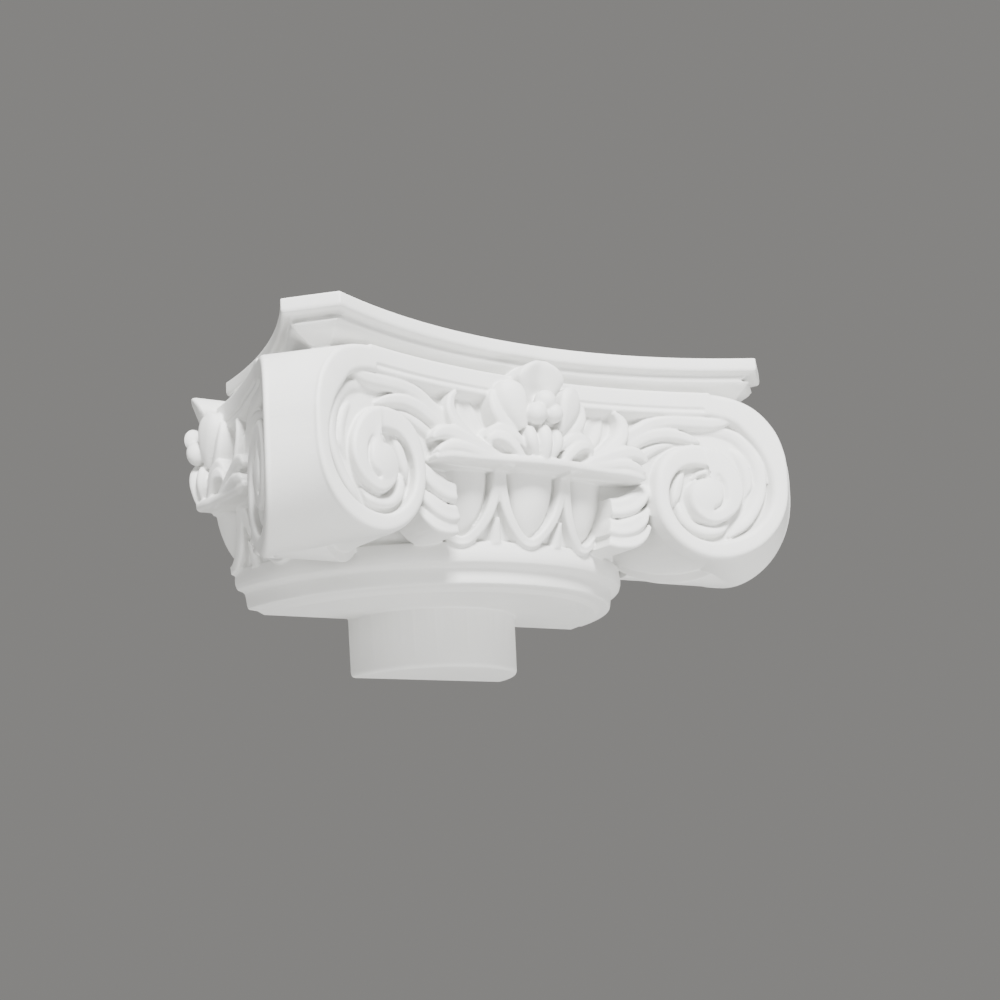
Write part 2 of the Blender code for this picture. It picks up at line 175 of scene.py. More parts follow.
# Rounding of the rib's two edges, as (distance from the edge, rise).
RIB_OUTER_EDGE = ((0, -5), (0.7, -2.6), (2.6, -0.7), (5, 0))
RIB_INNER_EDGE = ((3.5, 0), (1.2, -1), (0, -3.5))
# Round eye at the rib's end: its middle and radius, its dome and its rounded rim.
EYE_DISC = (176.0, 90.5, 17.0)
EYE_START = 0.97
EYE_STEPS = 120
EYE_RISE = 3.0
EYE_LIFT = 0.5
EYE_RIM = ((1.0, 4.0), (0.97, 1.6), (0.92, 0.3))
# Rings of the dome, as shares of its outline: the first one, and the step to the next.
DOME_START = 0.9
DOME_STEP = 0.04
# Web between the last turn and the eye, as (share of the way in, half width).
EYE_JOINT = ((0.55, 3.0), (0.7, 4.0), (0.85, 5.0), (1.0, 6.0))
EYE_JOINT_END = 1.99
EYE_JOINT_RISE = -0.3
# Curled groove round the eye.
EYE_GROOVE = ((188, 107), (191.5, 101), (192.8, 94), (192.2, 86), (188.5, 79.5), (182, 75.5))
GROOVE = (1.7, 5.0)         # half width and depth

# Eggs, the shells that hold them and the darts between them, by degrees from the front.
EGG_ANGLES = (0.0, 18.7, 66.4, 85.1)
DART_ANGLES = (9.35, 75.75)
EGG_HALF = 25.0
EGG_CENTRE = 98.0
EGG_TIP = 48.0
EGG_DEPTH = 13.0
EGG_SINK = 1.0
EGG_ROOT = 12.0
EGG_ARC = range(89, -20, -6)
EGG_SIDES = 15
SHELL = ((-33, 106, 4, 12), (-31, 84, 4.5, 12), (-25, 64, 4.5, 12), (-13, 47, 4.5, 12), (0, 40, 4.5, 12))
SHELL_HOLLOW = 0.3
# Dart, as (height over its foot, half width).
DART = ((23, 1.5), (10, 5), (0, 7))
DART_SINK = 2.0
DART_RISE = 8.0

# A leaf's edges fall away by a share of its half width, up to a widest half width.
EDGE_FALL = 0.7
EDGE_WIDEST = 8.0
PETAL_FACETS = 20
# How deep the leaves are rooted behind the face.
LEAF_ROOT = CHANNEL + 3.0
BASE_ROOT = CHANNEL + 8.0
TONGUE_ROOT = CHANNEL + 12.0
HUSK_ROOT = 60.0
# Leaves as sweeps of (along the face, height, half width, rise), on the right half of a face.
# Each leaf starts with how hollow it is and how far it tips to its left edge.
VOLUTE_LEAVES = (
    (0.15, 0.15, ((84, 137, 5, -8), (98, 142, 7, -5), (113, 149.5, 7.5, -4), (128, 158, 7, -3),
                  (148, 162, 6.5, -2), (172, 161.5, 6.5, -2), (192, 161, 6, -2), (204, 164, 4, -3),
                  (209, 167, 1.5, -5))),
    (0.15, 0.15, ((88, 123, 4, -9), (99, 132, 6, -6), (110, 139, 6.5, -5), (125, 146.5, 6.5, -4),
                  (143, 150, 6, -4), (160, 148, 5, -5), (171, 144.5, 3.5, -6), (178, 142, 1.5, -9))),
    (0.1, 0.1, ((96, 111, 4, -9), (109, 121, 5.5, -8), (123, 130.5, 5, -8), (139, 137.5, 3.5, -9),
                (155, 141, 1.5, -12))),
)
CHANNEL_LEAVES = (
    (0.0, 0.25, ((180, 154, 4, -11), (196, 153.5, 6.5, -8), (211, 148, 6.5, -7), (222, 136.5, 6, -6),
                 (229, 121, 5.5, -5), (231, 105, 5.5, -5), (228, 89, 6, -5), (220, 73, 6, -5),
                 (209, 60, 5.5, -5), (198, 50, 1.5, -9))),
    (0.0, 0.2, ((207, 136, 3, -10), (214.5, 126.5, 4.5, -7), (219, 113, 4.5, -6.5), (219.5, 99, 4, -7),
                (214.5, 87, 1.5, -10))),
    (0.0, -0.2, ((152.5, 84, 1.5, -10), (152.5, 76, 4.5, -6), (156, 66.5, 6, -5), (165, 58.5, 5.5, -5),
                 (177.5, 55.5, 5.5, -5), (189.5, 57.5, 5, -6), (198.5, 64.5, 1.5, -9))),
    (0.0, -0.2, ((160, 117, 1.5, -9), (154, 106, 4.5, -5), (150, 95, 5.5, -4.5), (147, 86, 4, -5),
                 (145, 79, 1.5, -9))),
    (0.0, 0.0, ((167, 106, 1.2, -8), (173.5, 111.4, 2.4, -4), (182, 111.8, 2.4, -4),
                (189, 107.5, 2.2, -5), (193, 102.5, 1, -8))),
    (0.0, 0.0, ((199, 168.5, 1.5, -10), (206, 165, 3, -7), (216, 157, 3, -6), (226, 144.5, 2.6, -7),
                (232, 135, 1.2, -10))),
)
BASE_LEAVES = (
    (0.15, 0.1, ((39, 106, 4, 8), (61, 115.5, 6, 8), (82, 123, 7, 7), (99, 127, 7, 6), (111, 124.5, 5, 4),
                 (117, 119, 2, 1))),
    (0.1, 0.1, ((30, 104, 3, 8), (50, 109.5, 4.5, 8), (71, 112.5, 5, 7.5), (90, 115, 5.5, 7),
                (104, 112.5, 5, 5), (113, 107.5, 2, 2))),
    (0.0, 0.0, ((0, 109, 4.5, 14), (20, 109, 4.5, 13), (36, 109, 4.5, 10), (72, 108.5, 5, 6),
                (98, 107.5, 5, 4), (109, 105, 4, 2), (115, 103, 2, 0))),
    (0.0, 0.0, ((0, 117, 15, 2), (26, 118, 14, 2), (50, 120, 11, 1), (70, 124, 7, -2))),
    (0.0, 0.0, ((0, 126, 16, 8), (0, 146, 22, 9), (0, 162, 18, 8))),
    (0.15, -0.2, ((56, 117.5, 4, 3), (75, 126.5, 6.5, 4), (88.5, 137.5, 7, 4), (94.5, 149, 6, 3),
                  (93.5, 159, 4.5, 2), (87, 166.5, 1.5, 0))),
    (0.45, 0.0, ((54, 130, 8, -6), (66, 145, 12, -7), (73, 159, 10, -8), (77, 167, 5, -9))),
    (0.2, -0.1, ((20, 109, 3, 11), (29, 119, 5, 13), (39, 127, 5.5, 13), (49, 129, 5, 11),
                 (55, 125, 3.5, 8), (54, 119, 1.5, 5))),
    (0.2, -0.1, ((16, 122, 3, 9), (28, 131.5, 4.5, 11), (41, 137, 5, 10), (52, 134, 4, 8),
                 (58, 127, 2, 4))),
)
# Fingers of the husk that holds the eggs beside the volute, and the ground behind them.
HUSK = (
    (0.3, 0.1, ((127, 106, 2, -15), (119.5, 93, 7, -9), (108.5, 83.5, 9.5, -7), (96, 78.5, 9.5, -8),
                (85, 78, 9, -9.5))),
    (0.3, 0.1, ((126, 79, 2, -17), (117, 68.5, 7, -10), (106, 61, 8.5, -8), (94, 58, 8.5, -9),
                (83, 60, 8, -11))),
    (0.3, 0.1, ((128, 62.5, 2, -18), (118, 53, 5.5, -13), (106.5, 46, 6.5, -11), (94, 45, 6.5, -12),
                (83, 47, 6, -14))),
    (0.0, 0.0, ((84, 92, 12, -30), (105, 94, 12, -28), (126, 97, 12, -26))),
)
# Flower: side petals, top petal, the tongue's middle and side lobes, and the berries.
SIDE_PETALS = (
    (0.05, 0.35, ((20, 139, 5, 11), (26, 150, 9, 15), (31, 163, 13, 17), (35, 174, 12, 16),
                  (38, 182, 6, 12))),
    (0.1, 0.0, ((24, 135, 4, 6), (36, 141, 6, 9), (45, 151, 6, 9), (48, 163, 5, 7), (46, 173, 3, 4))),
)
TOP_PETAL = (0.33, 0.0, ((0, 163, 12, 9), (0, 175, 20, 13), (0, 187, 25, 20), (0, 197, 18, 22),
                         (0, 203, 7, 19)))
TONGUE = (
    (0.0, 0.0, ((0, 111, 4, 14), (0, 117, 5.5, 17), (0, 127, 6.5, 20), (0, 137, 6.5, 19),
                (0, 144, 3.5, 14))),
    (0.0, 0.0, ((5, 111, 3, 8), (9.5, 117, 4, 14), (13.5, 126, 5.5, 17.5), (14, 134.5, 5.5, 16.5),
                (12.5, 140.5, 3, 13))),
)
BERRIES = ((2.0, 165.0, 10.5), (-9.0, 152.5, 10.5), (9.0, 154.0, 9.5))
BERRY_RISE = 25.0
BERRY_SIDES = 24
BERRY_ARC = range(-50, 90, 12)

# Block that cuts the back flat, in metres, and the middle of the capital.
CUT_WIDTH = 1.0
CUT_DEPTH = 0.5
CUT_MARGIN = 4
CAPITAL_MIDDLE = Vector((0.0, -0.08, 0.05))

# Finish of the cast surface, and the sizes of its patterns in millimetres.
SOFTNESS = 0.5
SOFT_ROUNDS = 2
SHARP_ANGLE = 50.0
PRIMER_IOR = 1.46
FLOOR_ROUGHNESS = 0.9
PATCH_SIZE = 40.0
SWELL_SIZE = 9.0
# Places of the two colours and the result on a mix node, where one name stands for several.
MIX_FIRST = 6
MIX_SECOND = 7
MIX_RESULT = 2

# Soft square lights, as (place, size) in metres, and the floor.
LIGHTS = {
    "key": ((-0.6, -1.6, 1.6), 0.6),
    "fill": ((-1.9, -1.0, 0.0), 1.2),
    "lift": ((0.6, -1.3, -1.1), 1.2),
}
FLOOR_SIZE = 12.0

# Camera, fitted to the photograph: turn and tilt of its view, roll, and place, in radians and parts.
VIEW_TURN = 0.592
VIEW_TILT = 0.235
VIEW_ROLL = -0.0611
VIEW_DISTANCE = 1727.95
VIEW_ASIDE = 73.0984
VIEW_BELOW = 121.2979
FOCAL_SHARE = 1.746911      # focal length as a share of the picture's width
SENSOR = 36.0


def ease(table, at):
    """Value of a table of (place, value) at a place, with smooth joins."""
    rows = list(table)
    at = min(max(at, rows[0][0]), rows[-1][0])
    i = max(k for k in range(len(rows) - 1) if rows[k][0] <= at)
    (x0, v0), (x1, v1) = rows[i], rows[i + 1]
    before, after = rows[max(i - 1, 0)], rows[min(i + 2, len(rows) - 1)]
    m0 = (v1 - before[1]) / (x1 - before[0])
    m1 = (after[1] - v0) / (after[0] - x0)
    w = x1 - x0
    t = (at - x0) / w
    return ((2 * t**3 - 3 * t**2 + 1) * v0 + (t**3 - 2 * t**2 + t) * w * m0
            + (3 * t**2 - 2 * t**3) * v1 + (t**3 - t**2) * w * m1)


def smooth_rows(rows, fine):
    """Rows of a sweep with more rows between them, on a smooth curve."""
    out = []
    for i in range(len(rows) - 1):
        p = [rows[min(max(i + k, 0), len(rows) - 1)] for k in (-1, 0, 1, 2)]
        for k in range(fine):
            t = k / fine
            out.append(tuple(0.5 * (2 * b + (c - a) * t + (2 * a - 5 * b + 4 * c - d) * t * t
                                    + (3 * b - a - 3 * c + d) * t**3) for a, b, c, d in zip(*p)))
    return out + [tuple(rows[-1])]


def face_point(s, z, rise):
    """Point on the front face: s along the wall, z up, rise out of the face."""
    return Vector((s, -(FACE_MIDDLE + FACE_BEND - sqrt(FACE_BEND**2 - s * s)) - rise, z)) * PART


def egg_ground(z):
    """Radius of the ground behind the eggs at a height."""
    t = (z - NECK_TOP) / (EGG_TOP - NECK_TOP)
    return EGG_GROUND_LOW + (EGG_GROUND_HIGH - EGG_GROUND_LOW) * sin(pi / 2 * min(max(t, 0.0), 1.0))


def bell_point(angle):
    """Points round the echinus, with s measured along it from an angle."""
    def place(s, z, rise):
        r = egg_ground(z) + rise
        a = angle + s / EGG_GROUND_HIGH
        return Vector((r * sin(a), AXIS_BACK - r * cos(a), z)) * PART
    return place


def solid(points, faces):
    """Closed mesh object, one blank of the carving."""
    mesh = bpy.data.meshes.new("blank")
    mesh.from_pydata([tuple(p) for p in points], [], faces)
    bm = bmesh.new()
    bm.from_mesh(mesh)
    bmesh.ops.remove_doubles(bm, verts=bm.verts, dist=1e-6)
    bmesh.ops.triangulate(bm, faces=[f for f in bm.faces if len(f.verts) > 4])
    bmesh.ops.recalc_face_normals(bm, faces=bm.faces)
    bm.to_mesh(mesh)
    bm.free()
    return bpy.data.objects.new("blank", mesh)


def loft(rings):
    """Solid through a row of rings, each with the same number of points."""
    n = len(rings[0])
    faces = [list(range(n))[::-1], [(len(rings) - 1) * n + i for i in range(n)]]
    for k in range(len(rings) - 1):
        for i in range(n):
            j = (i + 1) % n
            faces.append([k * n + i, k * n + j, (k + 1) * n + j, (k + 1) * n + i])
    return solid([p for ring in rings for p in ring], faces)


def sweep(place, rows, root, hollow=0.0, tip=0.0, facets=12, fine=6):
    """One leaf: a rounded or hollowed section along a curve, walled down to its root."""
    rows = smooth_rows(rows, fine)
    rings = []
    for i, (s, z, half, rise) in enumerate(rows):
        s0, z0 = rows[max(i - 1, 0)][:2]
        s1, z1 = rows[min(i + 1, len(rows) - 1)][:2]
        run = hypot(s1 - s0, z1 - z0)
        ns, nz = -(z1 - z0) / run, (s1 - s0) / run
        ring = []
        for j in range(facets + 1):
            u = 2 * j / facets - 1
            fall = EDGE_FALL * min(half, EDGE_WIDEST) * abs(u)**3
            fall += half * (hollow * (1 - u * u)**2 - tip * u)
            ring.append(place(s + ns * half * u, z + nz * half * u, rise - fall))
        ring.append(place(s + ns * half, z + nz * half, root))
        ring.append(place(s - ns * half, z - nz * half, root))
        rings.append(ring)
    return loft(rings)


def turned(profile, back, sides=180):
    """Round solid from a profile of (radius, height) about an upright axis behind the wall."""
    turns = [2 * pi * (k + 0.5) / sides for k in range(sides)]
    return loft([[Vector((r * cos(a), back + r * sin(a), z)) * PART for a in turns] for r, z in profile])


def neck():
    """Seat, band, plain neck and the ground of the echinus."""
    low, top = BAND_LOW_EDGE, BAND_TOP
    profile = [(SEAT_R, 0), (SEAT_R + 7, low - 0.7), (BAND_R - 2.9, low), (BAND_R - 0.8, low + 1),
               (BAND_R, low + 4.6), (BAND_R + 0.8, top - 5), (BAND_R + 2, top),
               (BAND_R + 5, top + 1.6), (NECK_R - 3, top + 2.6),
               (NECK_R - 1.6, top + 4), (NECK_R - 0.3, top + 8), (NECK_R, top + 12), (NECK_R - 0.4, top + 16),
               (NECK_R - 1.2, NECK_TOP - 0.5), (NECK_R - 4, NECK_TOP + 0.4)]
    for k in range(GROUND_STEPS + 1):
        z = NECK_TOP + 1 + (EGG_TOP - NECK_TOP - 1) * k / GROUND_STEPS
        profile.append((egg_ground(z), z))
    return turned(profile + [(EGG_GROUND_HIGH - BEHIND, BAND_LOW)], AXIS_BACK)


def spigot():
    """Half-round spigot with a little draft and a rounded edge."""
    low, edge = SPIGOT_R - SPIGOT_DRAFT, SPIGOT_EDGE
    profile = [(low - edge, -SPIGOT_DEPTH), (low - 0.6 * edge, -SPIGOT_DEPTH + 0.1 * edge),
               (low - 0.3 * edge, -SPIGOT_DEPTH + 0.3 * edge), (low - 0.1 * edge, -SPIGOT_DEPTH + 0.6 * edge),
               (low, -SPIGOT_DEPTH + edge), (SPIGOT_R, 0), (SPIGOT_R, BAND_TOP)]
    return turned(profile, 0.0)


def abacus_outline(inset, z, steps=41):
    """Outline of the abacus moved in by an inset, run on past the wall."""
    cx, cy = ABACUS_CORNER
    sag = cy - ABACUS_MIDDLE
    bend = (cx * cx + sag * sag) / (2 * sag)
    centre = ABACUS_MIDDLE + bend
    r = bend + inset
    reach = cx + cy - inset * sqrt(2)
    lo, hi = 0.0, cx
    for _ in range(50):
        x = (lo + hi) / 2
        y = centre - sqrt(r * r - x * x)
        lo, hi = (x, hi) if x + y < reach else (lo, x)
    span = asin(lo / r)
    angles = [-span + 2 * span * k / steps for k in range(steps + 1)]
    front = [(r * sin(a), centre - r * cos(a)) for a in angles]
    side = [(y, x) for x, y in front if x > -BEHIND][::-1]
    row = [(-x, y) for x, y in side][::-1] + front + side
    return [Vector((x, -y, z)) * PART for x, y in row]


def abacus():
    """Hollow-sided slab with its fascia, steps and hollow, on a core that reaches into the faces."""
    low = ABACUS_TOP - FASCIA
    steps = [(ABACUS_ARRIS, ABACUS_TOP), (0.0, ABACUS_TOP - ABACUS_ARRIS), (0.0, low + FASCIA_FOOT[1]),
             (FASCIA_FOOT[0], low)] + list(ABACUS_STEPS)
    for k in range(HOLLOW_STEPS + 1):
        inset = ABACUS_HOLLOW[0][0] + (ABACUS_HOLLOW[-1][0] - ABACUS_HOLLOW[0][0]) * k / HOLLOW_STEPS
        steps.append((inset, ease(ABACUS_HOLLOW, inset)))
    steps += [(ABACUS_CORE, ABACUS_CORE_TOP), (ABACUS_CORE, FIELD_LOW)]
    return loft([abacus_outline(d, z) for d, z in steps])


def face_wall():
    """Solid behind a face: the band with its bead, and the sunk field below."""
    profile = [(-4, BAND_HIGH), (-1, BAND_HIGH - 0.5), (0, BAND_HIGH - 2.5)] + list(BAND_STEPS)
    profile += [(-CHANNEL, BAND_LOW - 4), (-CHANNEL, FIELD_LOW), (-BODY_DEPTH, FIELD_LOW),
                (-BODY_DEPTH, BAND_HIGH)]
    places = [EYE[0] * (2 * k / FACE_STEPS - 1) for k in range(FACE_STEPS + 1)]
    return loft([[face_point(s, z, d) for d, z in profile] for s in places])


def rib_point(table, turn, inside=0.0):
    """Point of the rib's edge (along the face, height) at a number of turns from the top."""
    r = ease(table, turn) - inside
    a = 2 * pi * turn
    return EYE[0] + r * sin(a), EYE[1] + r * cos(a)


def outline(start, end, inset):
    """Stretch of the volute's outline between two numbers of turns."""
    turns = [start + (end - start) * k / OUTLINE_STEPS for k in range(OUTLINE_STEPS + 1)]
    return [rib_point(RIB_OUTER, turn, inset) for turn in turns]


def drop(height):
    """How far a side volute hangs below the front one at a height."""
    share = (EYE[1] - height / PART) / (EYE[1] - BAND_TOP)
    return SIDE_DROP * PART * min(max(share, 0.0), 1.0)


def across(p):
    """Point mirrored over the corner's diagonal, where the side volute hangs lower."""
    back = AXIS_BACK * PART
    return Vector((back - p.y, back - p.x, p.z - drop(p.z)))


def corner():
    """Core of a corner: the volute's outline carried straight across to the next face."""
    ring = outline(0.0, CORE_END, CORE_INSET)
    inner = EYE[0] - CORE_WIDTH
    ring = [(inner, FIELD_LOW + CORE_LIFT), (inner, ring[0][1])] + ring
    near = [face_point(s, z, -CHANNEL) for s, z in ring]
    return loft([near, [across(p) for p in near]])


def flank():
    """Volute run straight back from its rib to the corner's diagonal."""
    near = [face_point(s, z, -FLANK_ROOT) for s, z in outline(*FLANK, FLANK_INSET)]
    far = [Vector((p.x, AXIS_BACK * PART - p.x, p.z)) for p in near]
    return loft([near, far])


def rib_section(turn, ahead=0.0):
    """Section of the rib from its outer to its inner edge, with rounded edges."""
    outer, inner = rib_point(RIB_OUTER, turn), rib_point(RIB_INNER, turn)
    width = hypot(outer[0] - inner[0], outer[1] - inner[1])
    rise = ease(RIB_RISE, turn)
    row = []
    for d, h in list(RIB_OUTER_EDGE) + [(width - d, h) for d, h in RIB_INNER_EDGE]:
        t = d / width
        row.append(face_point(outer[0] + (inner[0] - outer[0]) * t - ahead,
                              outer[1] + (inner[1] - outer[1]) * t, rise + h))
    return row + [face_point(inner[0] - ahead, inner[1], -RIB_DEPTH)]


def scroll():
    """Outer turn of the volute: its rib on both faces and the ribbon between them."""
    rows = []
    for k in range(-1, SCROLL_STEPS + 1):
        near = rib_section(SCROLL_END * max(k, 0) / SCROLL_STEPS, SCROLL_LEAD if k < 0 else 0.0)
        rows.append(near + [across(p) for p in near[::-1]])
    return loft(rows)


def rib():
    """Rest of the rib, where it leaves the ribbon and winds in to the eye."""
    rows = []
    for k in range(RIB_STEPS + 1):
        turn = SCROLL_END - RIB_LAP + (1 + RIB_LAP - SCROLL_END) * k / RIB_STEPS
        rows.append(rib_section(turn) + [face_point(*rib_point(RIB_OUTER, turn), -RIB_DEPTH)])
    return loft(rows)


def groove_depth(s, z):
    """Depth of the curled groove at a place: deep near its line, nothing beside it."""
    near = inf
    for (s0, z0), (s1, z1) in zip(EYE_GROOVE, EYE_GROOVE[1:]):
        length = hypot(s1 - s0, z1 - z0)
        t = ((s - s0) * (s1 - s0) + (z - z0) * (z1 - z0)) / length**2
        t = min(max(t, 0.0), 1.0)
        near = min(near, hypot(s - s0 - t * (s1 - s0), z - z0 - t * (z1 - z0)))
    half, depth = GROOVE
    return depth * exp(-(near / half)**2)


def eye():
    """Last turn of the volute, closed by the round eye and its groove."""
    x, y, r = EYE_DISC
    dome_rings = [(DOME_START - DOME_STEP * k, 0.0) for k in range(int(DOME_START / DOME_STEP))]
    rings = []
    for share, fall in [(1.0, None)] + list(EYE_RIM) + dome_rings:
        ring = []
        for k in range(EYE_STEPS):
            s, z = rib_point(RIB_OUTER, EYE_START + (2 - EYE_START) * k / EYE_STEPS)
            s, z = x + (s - x) * share, y + (z - y) * share
            dome = EYE_RISE * max(1 - (hypot(s - x, z - y) / r)**2, 0.0)
            rise = -RIB_DEPTH if fall is None else EYE_LIFT + dome - fall - groove_depth(s, z)
            ring.append(face_point(s, z, rise))
        rings.append(ring)
    return loft(rings)


def eye_joint():
    """Web over the joint where the last turn runs into the eye."""
    (s0, z0), (s1, z1) = rib_point(RIB_OUTER, EYE_START), rib_point(RIB_OUTER, EYE_JOINT_END)
    rows = [(s0 + (s1 - s0) * t, z0 + (z1 - z0) * t, half, EYE_JOINT_RISE) for t, half in EYE_JOINT]
    return sweep(face_point, rows, -RIB_DEPTH)


def heart():
    """Solid core behind the side faces, so that the cut at the wall is whole."""
    half, deep, low, high = HEART
    ring = [(-half, BEHIND), (-half, -deep), (half, -deep), (half, BEHIND)]
    return loft([[Vector((x, y, z)) * PART for x, y in ring] for z in (low, high)])


def egg(angle):
    """Egg with its point down."""
    place = bell_point(angle)
    tall = EGG_CENTRE - EGG_TIP
    rings = []
    turns = [pi * k / EGG_SIDES for k in range(EGG_SIDES + 1)]
    for a in EGG_ARC:
        half, z = EGG_HALF * cos(radians(a)), EGG_CENTRE - tall * sin(radians(a))
        ring = [place(half * cos(b), z, EGG_DEPTH * cos(radians(a)) * sin(b) - EGG_SINK) for b in turns]
        rings.append(ring + [place(-half, z, -EGG_ROOT), place(half, z, -EGG_ROOT)])
    return loft(rings)


def shell(angle):
    """Rim that holds an egg, open at the top."""
    rows = list(SHELL) + [(-s, z, half, rise) for s, z, half, rise in SHELL[-2::-1]]
    return sweep(bell_point(angle), rows, -EGG_ROOT, SHELL_HOLLOW)


def dart(angle):
    """Small point between two shells."""
    foot = NECK_TOP - DART_SINK
    return sweep(bell_point(angle), [(0, foot + h, half, DART_RISE) for h, half in DART], -EGG_ROOT)


def berry(s, z, r):
    """Ball in the heart of the flower, at a place on the face."""
    turns = [2 * pi * k / BERRY_SIDES for k in range(BERRY_SIDES)]
    rings = []
    for a in (radians(v) for v in BERRY_ARC):
        rise = BERRY_RISE - r + r * sin(a)
        rings.append([face_point(s + r * cos(a) * cos(b), z + r * cos(a) * sin(b), rise) for b in turns])
    return loft(rings)


def leaf(row, root, facets=12):
    """One leaf of a table on the front face."""
    hollow, tip, places = row
    return sweep(face_point, places, -root, hollow, tip, facets)


def half_face():
    """Carving on the right half of a face, without what stands on its middle line."""
    parts = [leaf(row, LEAF_ROOT) for row in VOLUTE_LEAVES + CHANNEL_LEAVES]
    parts += [leaf(row, BASE_ROOT) for row in BASE_LEAVES]
    parts += [leaf(row, HUSK_ROOT) for row in HUSK]
    parts += [leaf(row, LEAF_ROOT, PETAL_FACETS) for row in SIDE_PETALS]
    return parts + [leaf(TONGUE[1], TONGUE_ROOT), rib(), eye(), eye_joint()]


def middle():
    """Carving on the middle line of a face."""
    parts = [leaf(TOP_PETAL, LEAF_ROOT, PETAL_FACETS), leaf(TONGUE[0], TONGUE_ROOT)]
    return parts + [berry(*place) for place in BERRIES]


def copied(obj, matrix):
    """Copy of a blank, moved, turned or mirrored."""
    twin = obj.copy()
    twin.data = obj.data.copy()
    twin.data.transform(matrix)
    if matrix.determinant() < 0:
        twin.data.flip_normals()
    return twin


def on_side(obj, matrix):
    """Copy on a side face, with its middle brought forward from the wall and its carving hung lower."""
    twin = copied(obj, matrix)
    for v in twin.data.vertices:
        s, z = AXIS_BACK - v.co.y / PART, v.co.z / PART
        near = min(max((s - FLOWER_REACH + BLEND_INSIDE) / BLEND_WIDTH, 0.0), 1.0)
        hang = min((BAND_HIGH - z) / (BAND_HIGH - FIELD_LOW), (z - NECK_TOP) / (FIELD_LOW - NECK_TOP), 1.0)
        v.co.z -= drop(v.co.z) * near + SIDE_DROP * PART * max(hang, 0.0) * (1 - near)
        v.co.y -= SIDE_SHIFT * PART * max(1 - s / FLOWER_REACH, 0.0)
    return twin


def carving():
    """Every blank that is joined to the neck, on the front and both side faces."""
    flip = Matrix.Scale(-1, 4, Vector((1, 0, 0)))
    back = Matrix.Translation((0, AXIS_BACK * PART, 0))
    turn = back @ Matrix.Rotation(pi / 2, 4, "Z") @ back.inverted()
    parts = []
    for obj in half_face():
        parts += [obj, copied(obj, flip)] + [on_side(obj, m) for m in (turn @ flip, flip @ turn @ flip)]
    for obj in middle() + [face_wall()]:
        parts += [obj] + [on_side(obj, m) for m in (turn, flip @ turn)]
    for obj in (corner(), scroll()):
        parts += [obj, copied(obj, flip)]
    near = flank()
    far = copied(near, Matrix.Identity(4))
    for v in far.data.vertices:
        v.co = across(v.co)
    far.data.flip_normals()
    parts += [near, far, copied(near, flip), copied(far, flip)]
    for degrees in EGG_ANGLES:
        for sign in (1, -1):
            if degrees or sign > 0:
                parts += [egg(sign * radians(degrees)), shell(sign * radians(degrees))]
    for degrees in DART_ANGLES:
        parts += [dart(radians(degrees)), dart(-radians(degrees))]
    return parts + [abacus(), spigot(), heart()]


def baked(obj):
    """Turn an object's modifiers into its mesh."""
    graph = bpy.context.evaluated_depsgraph_get()
    mesh = bpy.data.meshes.new_from_object(obj.evaluated_get(graph))
    obj.modifiers.clear()
    obj.data = mesh


def cut_behind(obj, y):
    """Cut off what lies behind a plane along the wall."""
    bpy.ops.mesh.primitive_cube_add(size=1)
    block = bpy.context.object
    block.scale = (CUT_WIDTH, CUT_DEPTH, CUT_WIDTH)
    block.location = (0, y + CUT_DEPTH / 2, CAPITAL_MIDDLE.z)
    cut = obj.modifiers.new("cut", "BOOLEAN")
    cut.object = block
    cut.operation = "DIFFERENCE"
    cut.solver = "MANIFOLD"
    bpy.context.view_layer.update()
    baked(obj)
    bpy.data.objects.remove(block, do_unlink=True)


def linear(hex_colour):
    """Linear colour with alpha from an sRGB hex value."""
    channels = [int(hex_colour[i:i + 2], 16) / 255 for i in (1, 3, 5)]
    return [c / 12.92 if c <= 0.04045 else ((c + 0.055) / 1.055)**2.4 for c in channels] + [1.0]


def add_node(tree, kind, links=(), **settings):
    """Add a node, set its inputs or properties by name, and link (input name, socket) pairs."""
    node = tree.nodes.new(kind)
    for name, value in settings.items():
        label = name.replace("_", " ").title()
        if label in node.inputs:
            node.inputs[label].default_value = value
        else:
            setattr(node, name, value)
    for name, socket in links:
        tree.links.new(socket, node.inputs[name])
    return node


def primed_foam(settings):
    """Rigid polyurethane foam, moulded and spray primed: matt, nearly white, with a fine tooth."""
    mat = bpy.data.materials.new("moulded foam, sprayed white primer")
    mat.use_nodes = True
    tree = mat.node_tree
    shader = tree.nodes["Principled BSDF"]
    shader.inputs["Roughness"].default_value = settings.roughness
    shader.inputs["IOR"].default_value = PRIMER_IOR
    shader.inputs["Metallic"].default_value = 0.0
    place = add_node(tree, "ShaderNodeTexCoord").outputs["Object"]
    # The sprayed coat is a little thinner, and so a little greyer, in patches a few centimetres wide.
    cloud = add_node(tree, "ShaderNodeTexNoise", [("Vector", place)], scale=1 / (PATCH_SIZE * MM), detail=3.0)
    tint = add_node(tree, "ShaderNodeMix", [("Factor", cloud.outputs["Fac"])], data_type="RGBA")
    tint.inputs[MIX_FIRST].default_value = settings.shade
    tint.inputs[MIX_SECOND].default_value = settings.white
    tree.links.new(tint.outputs[MIX_RESULT], shader.inputs["Base Color"])
    # Soft unevenness from the mould, and on it the primer's grain, drawn coarser than the real one.
    swell = add_node(tree, "ShaderNodeTexNoise", [("Vector", place)], scale=1 / (SWELL_SIZE * MM), detail=2.0)
    soft = add_node(tree, "ShaderNodeBump", [("Height", swell.outputs["Fac"])],
                    strength=0.15, distance=0.6 * MM)
    grain = add_node(tree, "ShaderNodeTexNoise", [("Vector", place)],
                     scale=1 / (settings.grain * MM), detail=2.0)
    bump = add_node(tree, "ShaderNodeBump",
                    [("Height", grain.outputs["Fac"]), ("Normal", soft.outputs["Normal"])],
                    strength=0.25, distance=0.15 * MM)
    tree.links.new(bump.outputs["Normal"], shader.inputs["Normal"])
    return mat


